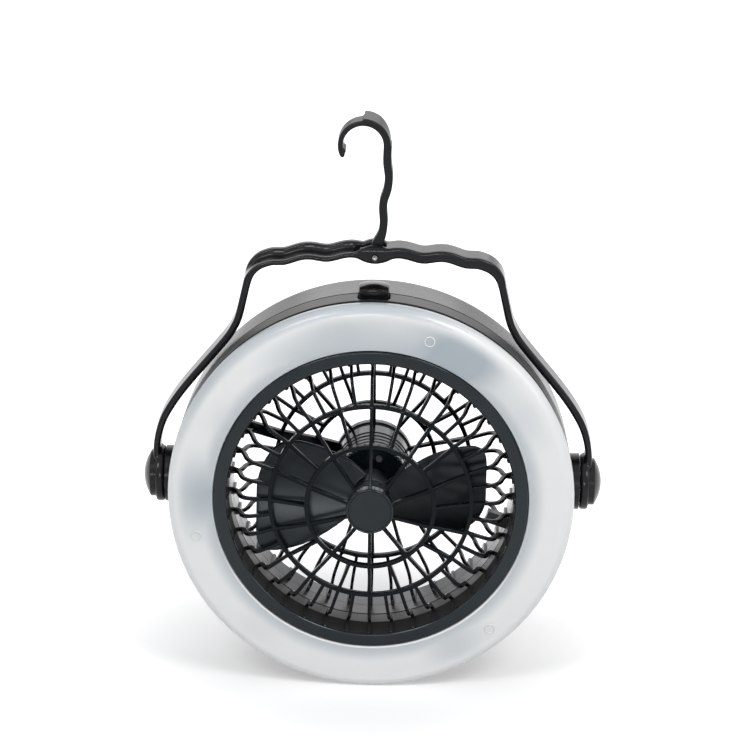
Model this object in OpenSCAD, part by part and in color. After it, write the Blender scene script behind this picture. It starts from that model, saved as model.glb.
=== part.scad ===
// Portable camping fan and ring light: a round head with a frosted ring lens around a guarded
// two-blade fan, a swinging bail handle and a folding hook.
// X runs to the right, Y from the front of the head to its back, and Z up.
// The fan's axis lies along Y at the lens radius above the ground. The head's middle plane is Y = 0,
// where the two housing shells meet. Depths are measured from the front rim towards the back.

/* [Head] */
// Outside diameter of the ring lens
lens_d = 175; // [174.5:0.25:176]
// Depth of the head from the front rim to the back rim
head_depth = 45; // [44.6:0.2:46]
// Radius of the air tunnel
tunnel_r = 61.9; // [61.6:0.1:62.1]
// Outside radius of the front rim, where the lens begins
rim_r = 67.7; // [67.2:0.1:68]
// Wall thickness of the two housing shells
shell_wall = 2; // [1.8:0.1:2.2]

/* [Guard baskets] */
// Spokes between the hub and the inner ring
hub_spokes = 10; // [6:2:12]
// Spokes outside the outer ring
edge_spokes = 40; // [24:4:44]
// Outside radius of the inner ring
inner_ring_r = 28.2; // [26:0.2:30]
// Outside radius of the outer ring
outer_ring_r = 44.1; // [43:0.1:45]
// Width of one spoke
spoke_w = 1.4; // [1.2:0.1:1.6]
// Height of the dome from the rim to the hub's face
dome_h = 12; // [11:0.5:13]
// Radius of the front hub
hub_r = 10.2; // [9:0.2:11]

/* [Fan] */
// Half span of the two blades
blade_reach = 49.6; // [46:0.2:50]
// Pitch of the blades
blade_pitch = 20; // [18:1:21]
// Thickness of a blade
blade_t = 1.5; // [1.2:0.1:1.8]
// Radius of the rotor hub
rotor_hub_r = 7.5; // [7:0.1:8]

/* [Bail] */
// Height of the bail's pivot axis behind the front rim
pivot_depth = 30; // [29.5:0.25:30.5]
// Depth of the bail's strap
strap_depth = 13.6; // [13:0.1:14]
// Radius of the round bail ends
drum_r = 12.3; // [11.8:0.1:12.6]
// Radius of the domed pivot caps
cap_r = 10.25; // [9.8:0.05:10.6]
// Half width over the pivot caps
half_width = 100; // [99.5:0.1:101]
// Height of the finger waves in the grip
wave_h = 0.8; // [0.4:0.1:1]

/* [Hook] */
// Height of the hook's pin above the fan's axis
pin_z = 102; // [101.5:0.1:102.5]
// Inside radius of the hook's curl
curl_r = 8.6; // [8:0.1:9]
// Height of the middle of the curl above the fan's axis
curl_z = 150; // [149:0.5:152]

/* [Controls and power] */
// Width of the push button
button_w = 13; // [12:0.2:13.4]
// Travel of the push button
button_travel = 1.8; // [1.2:0.1:2]
// Diameter of a battery cell
cell_d = 14.3; // [14:0.1:14.5]
// Length of a battery cell
cell_l = 50.5; // [50:0.1:50.6]
// Number of light-emitting diodes
led_count = 18; // [9:3:27]

/* [Hidden] */

lens_r = lens_d / 2;
front_y = -head_depth / 2;
mid_depth = head_depth / 2;
fine = 128;       // facets of the large rounds
small = 40;       // facets of the small rounds
gap = 0.3;        // clearance between pieces that move apart
joint_gap = 0.1;  // clearance between pieces that are fastened together
bore_gap = 0.06;  // radial clearance of a pin in its hole

// Rings, walls and decks of the head, as radii and depths
ring_w = 1.8;
ring_depth = 2.8;
skirt_depth = 13;
skirt_wall = 1.5;
collar_r = tunnel_r + skirt_wall + joint_gap;
seam_depth = 8;
deck_depth = 9.5;
deck_t = 1.5;
lens_wall = 1.8;
lens_front = 0.5;
lens_round = 4.5;
shell_r = lens_r - 0.3;
parting_r = lens_r - 0.5;
back_r = lens_r - 1.1;
back_round = 2.2;
back_t = 1.8;
led_ring_r = 77.3;
post_angles = [72, 192, 312];
screw_ring_r = 79.5;
screw_angles = [30, 150, 270];
lead_angle = 162;
lug_angle = 342;

// The motor, as depths
cup_front = 28;
cup_back = head_depth + dome_h;
can_r = 13.9;
shaft_r = 0.98;
retainer_r = 15.2;
grip_notches = 52;
motor_screw_r = 10.4;
motor_screw_angles = [74, 254];

// Battery compartments
cell_ring_r = 73.2;
cell_depth = 34;
cell_angles = [202.4, 246.4, 293.6, 337.6];
rib_angles = [179, 224.4, 315.6, 1];
door_inner_r = 66.5;
door_outer_r = lens_r - 4.3;
door_span = [182.2, 266.8];
door_t = 1.7;
hinge_r = 1.2;
hinge_pin_r = 0.7;
hinge_depth = head_depth - door_t + 0.1;

// Bail and hook
pivot_y = front_y + pivot_depth;
strap_front = pivot_y - strap_depth / 2;
strap_back = pivot_y + strap_depth / 2;
boss_face = 90.2;
drum_in = boss_face + gap;
drum_out = 94.4;
cap_flange = 96.8;
screw_r = 2;
grip_t = 4.9;
arm_t = 3.3;
end_t = 2.6;
shelf_t = 2.2;
shelf_depth = 9;
hook_t = 3.5;
curl_t = 2.2;
curl_x = -5.6;
pin_r = 1.05;
hook_front = strap_front + 3.6;
stem_depth = 5.2;
curl_depth = 10;
tab_depth = 16;

// Button and switch
button_depth = 18.8;
button_top = 92.2;
button_crown = 24;
button_flange_z = 83;
switch_top = 75;
stem_r = 1.5;

// ---- helpers ----

// Lifts the head so that the lens stands on the ground
module head() translate([0, 0, lens_r]) children();

// Turns the Z axis into Y
module about_axis() rotate([-90, 0, 0]) children();

// Turns a piece drawn along +X to an angle seen from the front, counted from the right
module spin(angle) rotate([0, -angle, 0]) children();

// Revolves a half section whose points are radius and depth
module revolve(turn = 360) about_axis() translate([0, 0, front_y]) rotate_extrude(angle = turn, $fn = fine)
  children();

// A rectangle of that half section
module band_section(r0, r1, d0, d1) translate([r0, d0]) square([r1 - r0, d1 - d0]);

// A cylinder along Y between two depths, at a radius and angle from the fan's axis
module axial(r, d0, d1, ring_r = 0, angle = 0, facets = small)
  spin(angle) translate([ring_r, front_y + d0, 0]) about_axis() cylinder(r = r, h = d1 - d0, $fn = facets);

// A cylinder along X between two distances
module crosswise(r, x0, x1, facets = small)
  translate([x0, pivot_y, 0]) rotate([0, 90, 0]) cylinder(r = r, h = x1 - x0, $fn = facets);

// Extrudes an outline in X and Z from y0 to y1
module upright(y0, y1) translate([0, y1, 0]) rotate([90, 0, 0]) linear_extrude(y1 - y0) children();

function reverse(p) = [for (i = [len(p) - 1:-1:0]) p[i]];
function arc(c, r, a0, a1, n) =
  [for (i = [0:n]) let(a = a0 + (a1 - a0) * i / n) c + r * [cos(a), sin(a)]];
function unit(v) = v / norm(v);
function side_of(p, i) =
  let (u = unit(p[min(i + 1, len(p) - 1)] - p[max(i - 1, 0)])) [-u[1], u[0]];
function shifted(p, w) = [for (i = [0:len(p) - 1]) p[i] + side_of(p, i) * (is_list(w) ? w[i] : w)];
function strip(p, w) = concat(shifted(p, w / 2), reverse(shifted(p, -w / 2)));

// A smooth curve through points, n steps to each stretch
function blend(a, b, c, d, t) =
  0.5 * (2 * b + (c - a) * t + (2 * a - 5 * b + 4 * c - d) * t * t + (3 * b - a - 3 * c + d) * t * t * t);
function smooth(p, n) = concat(
  [for (i = [0:len(p) - 2], k = [0:n - 1])
    blend(p[max(i - 1, 0)], p[i], p[i + 1], p[min(i + 2, len(p) - 1)], k / n)],
  [p[len(p) - 1]]);

// A square with round corners
function soft_square(w, r, n = 5) = concat(
  arc([w / 2 - r, w / 2 - r], r, 0, 90, n), arc([r - w / 2, w / 2 - r], r, 90, 180, n),
  arc([r - w / 2, r - w / 2], r, 180, 270, n), arc([w / 2 - r, r - w / 2], r, 270, 360, n));

// A wire coil along Z whose radius goes from r0 to r1
module coil(r0, r1, length, turns, wire, steps = 14, sides = 8) {
  count = round(turns * steps);
  points = [for (i = [0:count], k = [0:sides - 1])
    let (t = i / count, a = 360 * turns * t, r = r0 + (r1 - r0) * t + wire * cos(360 * k / sides))
    [r * cos(a), r * sin(a), wire + (length - 2 * wire) * t + wire * sin(360 * k / sides)]];
  walls = [for (i = [0:count - 1], k = [0:sides - 1])
    [i * sides + k, i * sides + (k + 1) % sides, (i + 1) * sides + (k + 1) % sides, (i + 1) * sides + k]];
  ends = [[for (k = [sides - 1:-1:0]) k], [for (k = [0:sides - 1]) count * sides + k]];
  polyhedron(points, concat(walls, ends), convexity = 6);
}

// ---- ring light ----

module light_lens() color([0.86, 0.87, 0.9, 0.8]) head() {
  outer = concat([[rim_r + 0.2, seam_depth - 0.2], [rim_r + 0.2, lens_front + 0.8],
      [rim_r + 0.8, lens_front]],
    arc([lens_r - lens_round, lens_front + lens_round], lens_round, -90, 0, 8),
    [[lens_r, seam_depth]]);
  inner_round = lens_round - lens_wall;
  inner = concat([[lens_r - lens_wall, seam_depth]],
    arc([lens_r - lens_round, lens_front + lens_round], inner_round, 0, -90, 6),
    [[rim_r + 0.2 + lens_wall, lens_front + lens_wall], [rim_r + 0.2 + lens_wall, seam_depth - 0.2]]);
  difference() {
    revolve() polygon(concat(outer, inner));
    // The register lip of the housing reaches inside the lens skirt
    revolve() band_section(lens_r - lens_wall - 0.4, lens_r - lens_wall, seam_depth - 1, seam_depth + 1);
  }
  for (a = post_angles) axial(2.2, lens_front + 1, seam_depth - 0.1, led_ring_r, a);
}

module led_board() color([0.93, 0.93, 0.9]) head() difference() {
  revolve() band_section(collar_r + 2, lens_r - 4, deck_depth - 1.3, deck_depth - joint_gap);
  for (a = screw_angles) axial(2, 0, 20, 82, a + 12);
}

module leds() color([0.98, 0.95, 0.75]) head() for (i = [0:led_count - 1])
  spin(2 + i * 360 / led_count) translate([led_ring_r, front_y + deck_depth - 1.35, 0]) {
    translate([-2.5, -1.5, -2.5]) cube([5, 1.5, 5]);
    rotate([90, 0, 0]) cylinder(r = 2.1, h = 1.9, $fn = small);
  }

// ---- guards ----

ring_drop = dome_h - 6.4;
hub_back = 4.6;

// One bent spoke outside the outer ring: out along the face, round the shoulder and back to the skirt
module edge_spoke() {
  path = smooth([[outer_ring_r - 1, 0.7], [50, 0.8], [53.8, 1.4], [56, 3.8], [57.1, 7.4], [58.6, 10.6],
    [60.6, 11.8], [62.6, 11.9]], 3);
  linear_extrude(spoke_w, center = true) {
    polygon(strip(path, 2.1));
    translate([tunnel_r - 0.8, 1.2]) square([1.4, 11]);
  }
}

// A straight spoke from one radius and depth to another
module straight_spoke(from, to, w = spoke_w, t = 2.3)
  linear_extrude(w, center = true) polygon(strip([from, to], t));

// Rim, skirt, rings and spokes, with the dome towards the front; it begins at a hub of hub_size
module basket(rim_out, hub_size, hub_drop) {
  revolve() union() {
    polygon([[tunnel_r, skirt_depth], [tunnel_r, 0.7], [tunnel_r + 0.7, 0], [rim_out - 0.5, 0],
      [rim_out, 0.5], [rim_out, 1.7], [tunnel_r + skirt_wall, 1.7], [tunnel_r + skirt_wall, skirt_depth]]);
    band_section(outer_ring_r - ring_w, outer_ring_r, -0.9, ring_depth - 0.9);
    band_section(inner_ring_r - ring_w, inner_ring_r, -ring_drop - 1.5, ring_depth - ring_drop - 1.5);
  }
  translate([0, front_y, 0]) {
    for (i = [0:edge_spokes - 1]) spin(i * 360 / edge_spokes) edge_spoke();
    for (i = [0:2 * hub_spokes - 1]) spin(90 + i * 180 / hub_spokes)
      straight_spoke([inner_ring_r - 1, -ring_drop - 0.2], [outer_ring_r - 0.9, 0.4]);
    for (i = [0:hub_spokes - 1]) spin(90 + i * 360 / hub_spokes)
      straight_spoke([hub_size - 0.8, -hub_drop], [inner_ring_r - 0.9, -ring_drop - 0.2]);
  }
}

module front_grille() color([0.13, 0.14, 0.15]) head() difference() {
  union() {
    basket(rim_r, hub_r, dome_h - 2);
    revolve() polygon([[0, -dome_h + hub_back], [0, -dome_h], [hub_r - 0.5, -dome_h], [hub_r, 0.5 - dome_h],
      [hub_r, hub_back - dome_h]]);
  }
  axial(hub_r - 1, -dome_h - 1, -dome_h + 0.6, facets = fine);
}

module hub_badge() color([0.2, 0.21, 0.22]) head()
  axial(hub_r - 1.05, -dome_h + 0.05, -dome_h + 0.6, facets = fine);

// The rear guard carries the motor cup in place of a hub
module rear_grille() color([0.13, 0.14, 0.15]) head() difference() {
  union() {
    mirror([0, 1, 0]) basket(tunnel_r + 3.3, 16, dome_h - 3.6);
    revolve() polygon([[0, cup_back], [16.9, cup_back], [17.4, cup_back - 0.5], [17.4, cup_back - 4.5],
      [16.6, cup_back - 4.8], [16.6, cup_back - 15], [16.2, cup_back - 15.2], [16.2, cup_back - 18],
      [15.8, cup_back - 18.2], [15.8, cup_back - 21], [15.5, cup_back - 21.2], [15.5, cup_back - 24],
      [15.2, cup_back - 24.2], [15.2, cup_front], [0, cup_front]]);
    mirror([0, 1, 0]) translate([0, front_y, 0]) spin(lead_angle) linear_extrude(4.6, center = true)
      polygon(strip([[15.4, -8.2], [28, -5.2], [44, 0.3], [tunnel_r + 0.8, 1.6]], 3));
  }
  axial(can_r + 0.12, cup_front - 1, cup_back - 2, facets = fine);
  for (a = [0:60:300]) axial(1.6, cup_back - 5, cup_back + 1, 8.5, a);
  // Groove for the motor leads
  mirror([0, 1, 0]) translate([0, front_y, 0]) spin(lead_angle) linear_extrude(3.2, center = true)
    polygon(strip([[12, -9.9], [28, -6.4], [44, -0.9], [58.5, 0.2]], 1.6));
}

// ---- housing shells ----

// Hole through the wall for the push button, with room for its flange inside
module button_window() {
  translate([0, front_y + button_depth, 0]) {
    translate([0, 0, 79]) linear_extrude(14) polygon(soft_square(button_w + 2 * gap, 3.4));
    translate([-9, -8.4, 79]) cube([18, 16.8, 5.95]);
  }
}

module front_housing() color([0.3, 0.31, 0.32]) head() {
  difference() {
    union() {
      revolve() union() {
        polygon([[shell_r - shell_wall, seam_depth + 0.1], [shell_r, seam_depth + 0.1],
          [parting_r, mid_depth - 0.05], [parting_r - shell_wall, mid_depth - 0.05]]);
        band_section(lens_r - 3.6, lens_r - lens_wall - 0.25, seam_depth - 1.5, deck_depth + 0.5);
        band_section(collar_r, shell_r - 1, deck_depth, deck_depth + deck_t);
        band_section(collar_r, collar_r + 1.6, 1.8, skirt_depth + 1.5);
        band_section(tunnel_r, tunnel_r + 2, skirt_depth + joint_gap, mid_depth - 0.05);
        band_section(tunnel_r, collar_r + 1.6, skirt_depth + joint_gap, skirt_depth + 1.5);
      }
      for (a = screw_angles) axial(3.2, deck_depth + 0.5, mid_depth + 0.9, screw_ring_r, a);
      // Bracket of the push switch
      for (x = [-5.6, 4.35]) translate([x, front_y + deck_depth + 0.5, 65]) cube([1.25, 12.3, 11]);
    }
    for (a = screw_angles) axial(1.25, deck_depth + deck_t, mid_depth + 2, screw_ring_r, a);
    for (s = [-1, 1]) scale([s, 1, 1]) crosswise(drum_r + joint_gap, 78, 95, fine);
    button_window();
  }
}

module rear_housing() color([0.3, 0.31, 0.32]) head() difference() {
  union() {
    revolve() union() {
      polygon(concat([[parting_r - shell_wall, mid_depth + 0.05], [parting_r, mid_depth + 0.05]],
        arc([back_r - back_round, head_depth - back_round], back_round, 0, 90, 5),
        [[tunnel_r + 3.5, head_depth], [tunnel_r + 3.5, head_depth - back_t],
         [back_r - shell_wall, head_depth - back_t]]));
      band_section(parting_r - 3.6, parting_r - shell_wall + 0.2, mid_depth + 0.05, mid_depth + 1.5);
      band_section(parting_r - 3.6, parting_r - shell_wall - 0.15, mid_depth - 1.6, mid_depth + 1);
      band_section(tunnel_r, tunnel_r + 2, mid_depth + 0.05, head_depth - skirt_depth - joint_gap);
      band_section(tunnel_r, collar_r + 1.3, head_depth - skirt_depth - 1.5,
        head_depth - skirt_depth - joint_gap);
      band_section(collar_r, collar_r + 1.3, head_depth - skirt_depth - 1.5, head_depth - back_t);
      band_section(collar_r, collar_r + 3, head_depth - back_t - 1.4, head_depth - back_t);
      band_section(tunnel_r + 3.5, collar_r + 3, head_depth - back_t - 1.4, head_depth);
    }
    for (a = screw_angles) axial(3.2, mid_depth + 1, head_depth - 1, screw_ring_r, a);
    // Ribs that part the battery cells
    for (a = rib_angles) spin(a) translate([collar_r + 0.7, front_y + 26, -0.6])
      cube([parting_r - collar_r - 2.1, 16.5, 1.2]);
    // Lug on the tunnel wall
    spin(lug_angle) translate([52.8, front_y + 26.6, -2.6]) cube([tunnel_r - 52, 4.4, 5.2]);
  }
  for (a = screw_angles) axial(1.6, mid_depth - 1, head_depth + 1, screw_ring_r, a);
  for (a = screw_angles) axial(3.1, head_depth - 1.9, head_depth + 1, screw_ring_r, a);
  for (s = [-1, 1]) scale([s, 1, 1]) crosswise(drum_r + joint_gap, 78, 95, fine);
  button_window();
  door_hole();
  mirror([1, 0, 0]) door_hole();
}

// Sector of the left battery door between two radii, two depths and two angles
module sector(r0, r1, d0, d1, a0, a1) mirror([0, 0, 1]) rotate([0, a0, 0])
  revolve(a1 - a0) band_section(r0, r1, d0, d1);

module door_hole() {
  sector(door_inner_r - gap, door_outer_r + gap, head_depth - 3, head_depth + 1,
    door_span[0] - 2.3, door_span[1] + 0.3);
  hinge_line(hinge_pin_r + bore_gap, door_inner_r - 1.2, door_outer_r + 1.6);
}

// A round along the left door's hinge, between two radii
module hinge_line(r, r0, r1) spin(door_span[0]) translate([r0, front_y + hinge_depth, 0]) rotate([0, 90, 0])
  cylinder(r = r, h = r1 - r0, $fn = small);

// ---- batteries ----

// Places a piece whose Z axis is a cell's own axis
module at_cell(angle) spin(angle) translate([cell_ring_r, front_y + cell_depth, 0]) children();

module cell(angle) color([0.72, 0.55, 0.3]) head() at_cell(angle) {
  translate([0, 0, -cell_l / 2]) cylinder(d = cell_d, h = cell_l - 1, $fn = 64);
  translate([0, 0, cell_l / 2 - 1.5]) cylinder(r = 2.7, h = 1.5, $fn = small);
}

module cell_1() cell(cell_angles[0]);
module cell_2() cell(cell_angles[1]);
module cell_3() cell(cell_angles[2]);
module cell_4() cell(cell_angles[3]);

module contact_springs() color("silver") head() {
  at_cell(cell_angles[1]) translate([0, 0, cell_l / 2 + 0.1]) coil(2, 3, 2.6, 2.5, 0.3);
  at_cell(cell_angles[2]) rotate([180, 0, 0]) translate([0, 0, cell_l / 2 + 0.1]) coil(2, 3, 2.6, 2.5, 0.3);
}

module contact_plates() color("silver") head()
  for (i = [0:3], s = [-1, 1]) {
    inner_end = (i == 1 && s == 1) || (i == 2 && s == -1);
    if (!inner_end) at_cell(cell_angles[i])
      translate([-3.4, -3.6, s > 0 ? cell_l / 2 + 0.1 : -cell_l / 2 - 0.5]) cube([7.2, 7.2, 0.4]);
  }

// ---- battery doors ----

module door() difference() {
  union() {
    sector(door_inner_r, door_outer_r, head_depth - door_t, head_depth, door_span[0] + 0.4, door_span[1]);
    hinge_line(hinge_r, door_inner_r, door_outer_r);
    hinge_line(hinge_pin_r, door_inner_r - 0.9, door_outer_r + 1.3);
  }
  // Finger notch at the free end
  spin(door_span[1]) translate([75, front_y + head_depth - 0.8, 0]) about_axis()
    cylinder(r = 5, h = 3, $fn = fine);
}

module battery_door_left() color([0.27, 0.28, 0.29]) head() door();
module battery_door_right() color([0.27, 0.28, 0.29]) head() mirror([1, 0, 0]) door();

// ---- motor ----

module motor_retainer() color([0.16, 0.16, 0.17]) head() difference() {
  axial(retainer_r, cup_front - 1.6, cup_front - 0.05, facets = fine);
  axial(3.4, cup_front - 3, cup_front + 1);
  for (a = motor_screw_angles) axial(1.05, cup_front - 3, cup_front + 1, motor_screw_r, a);
  for (i = [0:grip_notches - 1]) spin(i * 360 / grip_notches)
    translate([retainer_r - 0.5, front_y + cup_front - 2, -0.4]) cube([1, 3, 0.8]);
}

module motor_screws() color("silver") head() for (a = motor_screw_angles) {
  axial(1.4, cup_front - 2.6, cup_front - 1.65, motor_screw_r, a);
  axial(0.95, cup_front - 2, cup_front + 2.2, motor_screw_r, a);
}

module motor_can() color([0.7, 0.71, 0.72]) head() difference() {
  axial(can_r, cup_front + 0.3, 53.5, facets = fine);
  axial(can_r - 0.7, cup_front + 1.3, 54, facets = fine);
  axial(3.02, cup_front - 1, cup_front + 3);
  for (a = motor_screw_angles) axial(1, cup_front - 1, cup_front + 3, motor_screw_r, a);
}

module motor_magnets() color([0.25, 0.25, 0.27]) head() for (s = [0, 180])
  rotate([0, s + 25, 0]) revolve(130) band_section(9.8, can_r - 0.8, 33, 49);

module motor_end_bell() color([0.85, 0.84, 0.78]) head() difference() {
  axial(can_r - 0.8, 51, 53.4, facets = fine);
  axial(3.02, 50, 55);
}

module motor_bushes() color([0.75, 0.6, 0.3]) head() for (d = [cup_front + 0.35, 51.2]) difference() {
  axial(3, d, d + 2);
  axial(shaft_r + bore_gap, d - 1, d + 3);
}

module motor_leads() color([0.6, 0.08, 0.06]) head() for (side = [-1, 1])
  mirror([0, 1, 0]) translate([0, front_y, 0]) spin(lead_angle) translate([0, 0, side * 0.75])
    translate([28.5, -6.25, 0]) rotate([0, 0, 19]) rotate([0, 90, 0])
      translate([0, 0, 0.6]) cylinder(r = 0.6, h = 14.6, $fn = small);

module motor_shaft() color("silver") head() axial(shaft_r, 10, 53.2);

module motor_armature() color([0.55, 0.5, 0.45]) head() difference() {
  union() {
    axial(9.2, 34, 48, facets = fine);
    axial(3.6, 32, 50);
  }
  axial(shaft_r + 0.01, 30, 52);
}

// ---- rotor ----

hub_front = 5.8;
rotor_hub_back = 21.5;
blade_depth = 10;
blade_bend_r = 90;

// Outline of one blade seen from the front, root to tip
function blade_outline() = smooth([[2, -8.2], [7, -12], [11.6, -14.6], [18, -17], [26, -19.2], [34, -20.4],
  [40.5, -19], [45.2, -14.6], [48.2, -9], [blade_reach, -3], [blade_reach, 6], [blade_reach, 14],
  [49.4, 19.4], [48, 23], [45, 25], [41, 25.1], [36, 24.2], [30, 22.4], [25, 20.2], [19, 16.6],
  [12, 11.6], [6, 6.5], [2, 3]], 3);

module blade() intersection() {
  upright(front_y, front_y + 40) polygon(blade_outline());
  translate([0, front_y + blade_depth, 0]) rotate([blade_pitch, 0, 0])
    translate([0, blade_bend_r - 1.5, 0]) rotate([0, 90, 0]) difference() {
      cylinder(r = blade_bend_r, h = 60, $fn = 180);
      translate([0, 0, -1]) cylinder(r = blade_bend_r - blade_t, h = 62, $fn = 180);
      translate([-100, 0, -1]) cube([200, 100, 62]);
    }
}

module fan_blades() color([0.1, 0.1, 0.11]) head() difference() {
  union() {
    blade();
    rotate([0, 180, 0]) blade();
    axial(rotor_hub_r, hub_front, rotor_hub_back, facets = fine);
  }
  axial(shaft_r + 0.02, 5, 30);
  axial(rotor_hub_r - 1.6, rotor_hub_back - 4, rotor_hub_back + 1, facets = fine);
}

module blade_cap() color([0.1, 0.1, 0.11]) head() intersection() {
  translate([0, front_y + hub_front + 11, 0]) sphere(r = 13.3, $fn = fine);
  axial(rotor_hub_r, hub_front - 4, hub_front - 0.02, facets = fine);
}

// ---- button and switch ----

module power_button() color([0.06, 0.06, 0.07]) head() translate([0, front_y + button_depth, 0]) {
  intersection() {
    translate([0, 0, button_flange_z + 0.5]) linear_extrude(12) polygon(soft_square(button_w, 3.2));
    translate([0, 0, button_top - button_crown]) sphere(r = button_crown, $fn = 180);
  }
  translate([0, 0, button_flange_z]) linear_extrude(1.3) polygon(soft_square(button_w + 2, 3.6));
  translate([0, 0, switch_top - 2]) cylinder(r = stem_r, h = button_flange_z - switch_top + 2.2, $fn = small);
}

module button_spring() color("silver") head() translate([0, front_y + button_depth, switch_top + 0.1])
  coil(2.4, 2.4, button_flange_z - switch_top - 0.2, 4, 0.3);

module push_switch() color([0.12, 0.12, 0.13]) head() translate([0, front_y + button_depth, 0]) difference() {
  translate([-4.25, -4.2, 66]) cube([8.5, 8.4, switch_top - 66]);
  translate([0, 0, switch_top - 2 - button_travel - 0.4])
    cylinder(r = stem_r + bore_gap, h = 10, $fn = small);
}

// ---- fasteners ----

module housing_screws() color("silver") head() for (a = screw_angles) difference() {
  union() {
    axial(2.9, head_depth - 1.85, head_depth - 0.3, screw_ring_r, a);
    axial(1.5, mid_depth + 1, head_depth - 1.8, screw_ring_r, a);
    axial(1.15, mid_depth - 6, mid_depth + 1.5, screw_ring_r, a);
  }
  spin(a) translate([screw_ring_r - 2, front_y + head_depth - 1.1, -0.35]) cube([4, 2, 0.7]);
  spin(a) translate([screw_ring_r - 0.35, front_y + head_depth - 1.1, -2]) cube([0.7, 2, 4]);
}

// ---- bail pivots, drawn for the right side ----

module boss() difference() {
  union() {
    crosswise(drum_r, lens_r - 3, boss_face, fine);
    crosswise(3.4, 79.5, boss_face);
  }
  crosswise(screw_r + 0.02, 78, 100);
}

module pivot_screw() difference() {
  union() {
    crosswise(screw_r, 79.6, 92.6);
    crosswise(3.8, 92.45, 94.1);
  }
  translate([93.4, pivot_y - 0.45, -3]) cube([2, 0.9, 6]);
  translate([93.4, pivot_y - 3, -0.45]) cube([2, 6, 0.9]);
}

// A shallow dome on a short rim, hollow behind
module pivot_cap() {
  dome = 18.1;
  rise = half_width - cap_flange;
  top = cap_flange + rise - dome;
  edge = asin((cap_r - 0.2) / dome);
  translate([0, pivot_y, 0]) rotate([0, 90, 0]) rotate_extrude($fn = fine) polygon(concat(
    [[0, cap_flange - 0.6], [7.6, cap_flange - 0.6], [7.6, drum_out + 0.02], [cap_r, drum_out + 0.02],
     [cap_r, top + dome * cos(edge) - 0.3]],
    [for (i = [8:-1:0]) [dome * sin(edge * i / 8), top + dome * cos(edge * i / 8)]]));
}

module pivot_boss_left() color([0.13, 0.14, 0.15]) head() mirror([1, 0, 0]) boss();
module pivot_boss_right() color([0.13, 0.14, 0.15]) head() boss();
module pivot_screw_left() color("silver") head() mirror([1, 0, 0]) pivot_screw();
module pivot_screw_right() color("silver") head() pivot_screw();
module pivot_cap_left() color([0.09, 0.1, 0.11]) head() mirror([1, 0, 0]) pivot_cap();
module pivot_cap_right() color([0.09, 0.1, 0.11]) head() pivot_cap();

// ---- bail ----

// Underside of the grip, which carries the finger waves
function grip_z(x) = 101.05 - 0.00165 * x * x + wave_h * cos(360 * (x - 10.6) / 19);

// Inner edge of the right half of the bail, from the middle of the grip down to the pivot
grip_end = 44;
grip_edge = [for (x = [0:2:grip_end - 2]) [x, grip_z(x)]];
arm_edge = smooth([[grip_end, 97.6], [48.3, 96], [51.3, 93.2], [52.9, 89.3], [54.6, 82], [56.5, 74],
  [58.6, 69], [63.2, 61.9], [79.9, 41.5], [87.6, 30], [90.8, 22.6], [92.4, 15], [92.6, 8], [92.6, 0]], 4);
bail_edge = concat(grip_edge, arm_edge);
function bail_t(p) = p[1] > 97.2 ? grip_t : p[1] > 89 ? arm_t + (grip_t - arm_t) * (p[1] - 89) / 8.2
  : p[1] > 30 ? arm_t : end_t + (arm_t - end_t) * p[1] / 30;
function shelf_at(p) = p[1] > 97.2 ? shelf_t : shelf_t + (arm_t - shelf_t) * (97.2 - p[1]) / 6;
outer_edge = shifted(bail_edge, [for (p = bail_edge) bail_t(p)]);
shelf_edge = shifted(bail_edge, [for (p = bail_edge) shelf_at(p)]);

// Pin housing: an eye-shaped swelling in the middle of the grip
module pin_housing() intersection() {
  translate([0, 99.1 + 13]) circle(r = 13, $fn = fine);
  translate([0, 107.4 - 9.5]) circle(r = 9.5, $fn = fine);
}

module bail_handle() color([0.12, 0.13, 0.14]) head() difference() {
  union() {
    for (s = [0, 1]) mirror([s, 0, 0]) {
      upright(strap_front, strap_back) polygon(concat(bail_edge, reverse(outer_edge)));
      crosswise(drum_r, drum_in, drum_out, fine);
    }
    upright(strap_front, strap_back) pin_housing();
  }
  for (s = [0, 1]) mirror([s, 0, 0]) {
    crosswise(screw_r + bore_gap, 88, 98);
    crosswise(4.2, 92.15, 98);
    crosswise(cap_r + 0.05, drum_out, 99, fine);
  }
  // Recess along the left half of the grip, where the folded hook lies
  mirror([1, 0, 0]) upright(strap_front - 1, strap_front + shelf_depth) polygon(concat(
    [[6.4, 105.4], [8, 104.4]], [for (i = [5:len(grip_edge) + 12]) shelf_edge[i]],
    [[57, 93], [56, 110], [6.4, 110]]));
  // Slot of the hook's root
  upright(hook_front - gap, hook_front + stem_depth + gap) {
    translate([0, pin_z]) circle(r = 3.8, $fn = small);
    polygon([[-9, 101.9], [0, pin_z - 2], [3.8, pin_z], [5.4, 110], [-9, 110]]);
  }
  // Sloping front of the pin housing's top
  translate([0, strap_front, 105.6]) rotate([34, 0, 0]) translate([-6.3, -4, 0]) cube([12.6, 8, 4]);
  translate([0, strap_front - 1, pin_z]) about_axis() cylinder(r = pin_r + 0.01, h = 14, $fn = small);
}

module hook_pin() color("silver") head() translate([0, strap_front + 0.1, pin_z]) about_axis()
  cylinder(r = pin_r, h = 12.8, $fn = small);

// ---- hook ----

stem_path = smooth([[1.9, 107.6], [3, 112], [3.5, 117], [3.1, 122.5], [3.5, 126.5], [4.9, 131],
  [5.4, 136.5], [4.6, 143], [curl_x + curl_r + hook_t / 2, curl_z]], 4);

// The stem's left flank, which flares towards the root
root_z = stem_path[0][1];
left_flank = shifted(stem_path,
  [for (p = stem_path) hook_t / 2 + 1.3 * pow(max(0, 1 - (p[1] - root_z) / 6), 1.5)]);

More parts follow.
